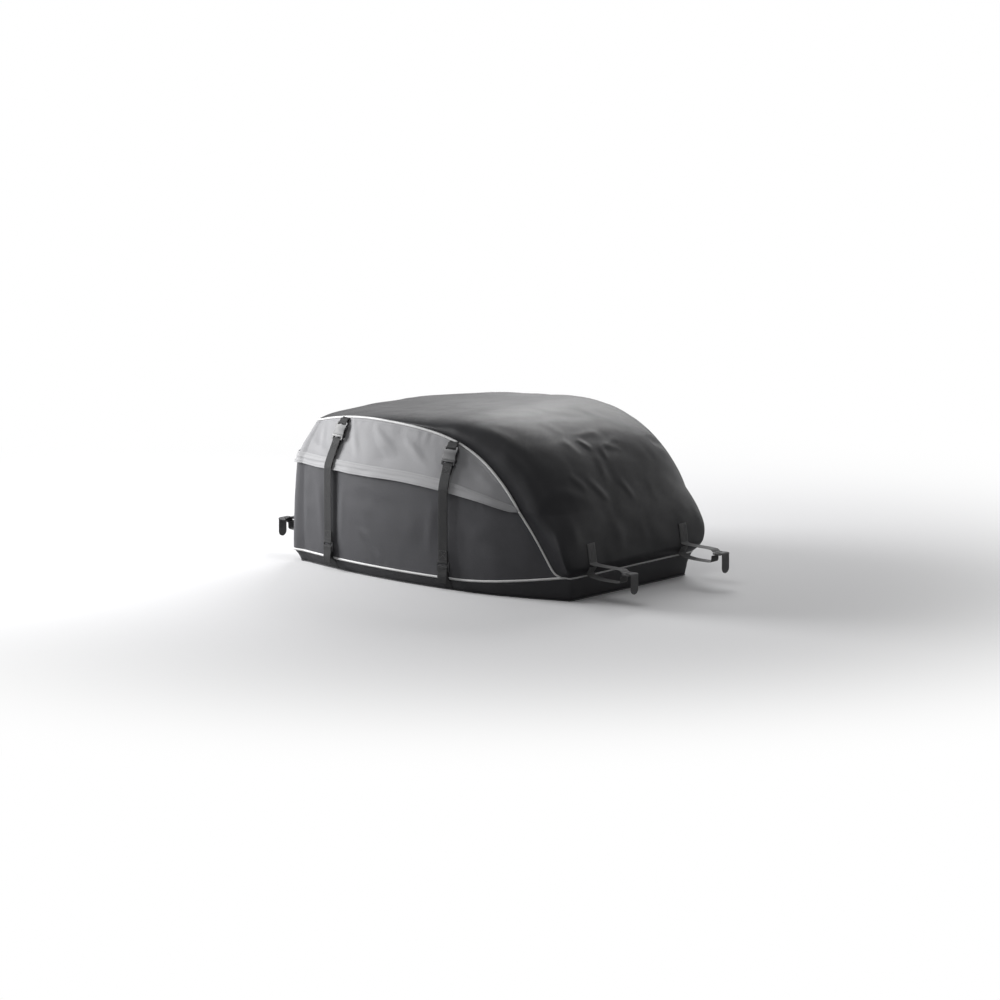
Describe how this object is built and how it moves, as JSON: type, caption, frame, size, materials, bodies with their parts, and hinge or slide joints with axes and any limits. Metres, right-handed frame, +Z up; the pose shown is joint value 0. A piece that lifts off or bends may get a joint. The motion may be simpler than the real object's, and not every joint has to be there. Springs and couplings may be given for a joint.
{
  "type": "soft roof cargo bag",
  "caption": "Soft-sided weather-resistant roof cargo bag with a rounded sloping nose, piped seams, a flap-covered zipper, buckled compression straps and webbing tie-downs.",
  "frame": {"origin": "middle of the flat underside of the floor panel, halfway along and across the bag", "axes": "+X forward towards the rounded nose, +Y towards the left side of the car, +Z up"},
  "size_m": [1.2308, 0.7006, 0.4461],
  "materials": {
    "top_fabric": "black coated polyester, soft sheen",
    "lower_fabric": "dark grey coated polyester",
    "upper_fabric": "mid grey coated polyester",
    "flap_fabric": "light grey coated polyester",
    "base_fabric": "dark coated polyester, non-slip underside",
    "piping": "reflective near-white piping",
    "webbing": "black woven polyester webbing",
    "zipper": "black zipper tape with black teeth",
    "slider_metal": "dark painted zinc slider",
    "pull_rubber": "moulded black pull tab",
    "buckle_grey": "satin grey acetal",
    "buckle_black": "satin black acetal"
  },
  "bodies": {
    "tub": {"floor_panel": "base_fabric", "base_boxing": "base_fabric", "base_piping": "piping", "side_panel_right": "lower_fabric", "side_panel_left": "lower_fabric", "rear_panel": "lower_fabric", "nose_panel": "top_fabric", "nose_piping_right": "piping", "nose_piping_left": "piping", "zipper_tape_lower": "zipper", "side_strap_rear_right": "webbing", "side_strap_rear_left": "webbing", "side_strap_front_right": "webbing", "side_strap_front_left": "webbing", "anchor_web_rear_right": "webbing", "anchor_web_rear_left": "webbing", "anchor_web_front_right": "webbing", "anchor_web_front_left": "webbing", "tie_upper_front_right": "webbing", "tie_upper_front_left": "webbing", "tie_upper_rear_right": "webbing", "tie_upper_rear_left": "webbing", "tie_lower_front_right": "webbing", "tie_lower_front_left": "webbing", "tie_lower_rear_right": "webbing", "tie_lower_rear_left": "webbing", "tie_tails": "webbing"},
    "lid": {"top_panel": "top_fabric", "upper_side_right": "upper_fabric", "upper_side_left": "upper_fabric", "upper_rear": "upper_fabric", "upper_piping": "piping", "zipper_tape_upper": "zipper", "storm_flap_right": "flap_fabric", "storm_flap_left": "flap_fabric", "flap_binding": "flap_fabric", "buckle_tabs": "webbing", "socket_rear_right": "buckle_grey", "socket_rear_left": "buckle_grey", "socket_front_right": "buckle_grey", "socket_front_left": "buckle_grey"},
    "storm_flap_rear": {"storm_flap_rear": "flap_fabric"},
    "slider_right": {"slider_right": "slider_metal"},
    "slider_left": {"slider_left": "slider_metal"},
    "zip_pull_right": {"zip_pull_right": "pull_rubber"},
    "zip_pull_left": {"zip_pull_left": "pull_rubber"},
    "plug_rear_right": {"plug_rear_right": "buckle_black"},
    "plug_rear_left": {"plug_rear_left": "buckle_black"},
    "plug_front_right": {"plug_front_right": "buckle_black"},
    "plug_front_left": {"plug_front_left": "buckle_black"},
    "side_lock_rear_right": {"side_lock_rear_right": "buckle_black"},
    "side_lock_rear_left": {"side_lock_rear_left": "buckle_black"},
    "side_lock_front_right": {"side_lock_front_right": "buckle_black"},
    "side_lock_front_left": {"side_lock_front_left": "buckle_black"},
    "tie_lock_front_right": {"tie_lock_front_right": "buckle_grey"},
    "tie_lock_front_left": {"tie_lock_front_left": "buckle_grey"},
    "tie_lock_rear_right": {"tie_lock_rear_right": "buckle_grey"},
    "tie_lock_rear_left": {"tie_lock_rear_left": "buckle_grey"}
  },
  "joints": [
    {"name": "lid_hinge", "type": "hinge", "parent": "tub", "child": "lid", "pos_m": [0.44609, 0, 0.226], "axis": [0, 1, 0], "range_deg": [0, 65]},
    {"name": "rear_flap_hinge", "type": "hinge", "parent": "lid", "child": "storm_flap_rear", "pos_m": [-0.489, 0, 0.297], "axis": [0, 1, 0], "range_deg": [0, 100]},
    {"name": "slider_right_slide", "type": "slide", "parent": "tub", "child": "slider_right", "axis": [0, -1, 0], "range_m": [0, 0.15]},
    {"name": "zip_pull_right_hinge", "type": "hinge", "parent": "slider_right", "child": "zip_pull_right", "pos_m": [-0.4846, -0.0051, 0.266], "axis": [0, 1, 0], "range_deg": [0, 80]},
    {"name": "slider_left_slide", "type": "slide", "parent": "tub", "child": "slider_left", "axis": [0, 1, 0], "range_m": [0, 0.15]},
    {"name": "zip_pull_left_hinge", "type": "hinge", "parent": "slider_left", "child": "zip_pull_left", "pos_m": [-0.4846, 0.0051, 0.266], "axis": [0, 1, 0], "range_deg": [0, 80]},
    {"name": "plug_rear_right_slide", "type": "slide", "parent": "tub", "child": "plug_rear_right", "axis": [-0.0684, -0.4434, -0.8937], "range_m": [0, 0.028], "deforming": ["side_strap_rear_right"]},
    {"name": "side_lock_rear_right_hinge", "type": "hinge", "parent": "tub", "child": "side_lock_rear_right", "pos_m": [-0.30953, -0.3307, 0.074], "axis": [-0.9883, 0.1526, 0], "range_deg": [0, 35], "deforming": ["anchor_web_rear_right"]},
    {"name": "plug_rear_left_slide", "type": "slide", "parent": "tub", "child": "plug_rear_left", "axis": [-0.0684, 0.4434, -0.8937], "range_m": [0, 0.028], "deforming": ["side_strap_rear_left"]},
    {"name": "side_lock_rear_left_hinge", "type": "hinge", "parent": "tub", "child": "side_lock_rear_left", "pos_m": [-0.30953, 0.3307, 0.074], "axis": [0.9883, 0.1526, 0], "range_deg": [0, 35], "deforming": ["anchor_web_rear_left"]},
    {"name": "plug_front_right_slide", "type": "slide", "parent": "tub", "child": "plug_front_right", "axis": [0.033, -0.3733, -0.9271], "range_m": [0, 0.028], "deforming": ["side_strap_front_right"]},
    {"name": "side_lock_front_right_hinge", "type": "hinge", "parent": "tub", "child": "side_lock_front_right", "pos_m": [0.10788, -0.34425, 0.074], "axis": [-0.9961, -0.0882, 0], "range_deg": [0, 35], "deforming": ["anchor_web_front_right"]},
    {"name": "plug_front_left_slide", "type": "slide", "parent": "tub", "child": "plug_front_left", "axis": [0.033, 0.3733, -0.9271], "range_m": [0, 0.028], "deforming": ["side_strap_front_left"]},
    {"name": "side_lock_front_left_hinge", "type": "hinge", "parent": "tub", "child": "side_lock_front_left", "pos_m": [0.10788, 0.34425, 0.074], "axis": [0.9961, -0.0882, 0], "range_deg": [0, 35], "deforming": ["anchor_web_front_left"]},
    {"name": "tie_lock_rear_right_hinge", "type": "hinge", "parent": "tub", "child": "tie_lock_rear_right", "pos_m": [-0.59, -0.186, 0.084], "axis": [0, 1, 0], "range_deg": [0, 35], "deforming": ["tie_tails"]},
    {"name": "tie_lock_rear_left_hinge", "type": "hinge", "parent": "tub", "child": "tie_lock_rear_left", "pos_m": [-0.59, 0.186, 0.084], "axis": [0, 1, 0], "range_deg": [0, 35], "deforming": ["tie_tails"]},
    {"name": "tie_lock_front_right_hinge", "type": "hinge", "parent": "tub", "child": "tie_lock_front_right", "pos_m": [0.59, -0.186, 0.084], "axis": [0, -1, 0], "range_deg": [0, 35], "deforming": ["tie_tails"]},
    {"name": "tie_lock_front_left_hinge", "type": "hinge", "parent": "tub", "child": "tie_lock_front_left", "pos_m": [0.59, 0.186, 0.084], "axis": [0, -1, 0], "range_deg": [0, 35], "deforming": ["tie_tails"]}
  ]
}
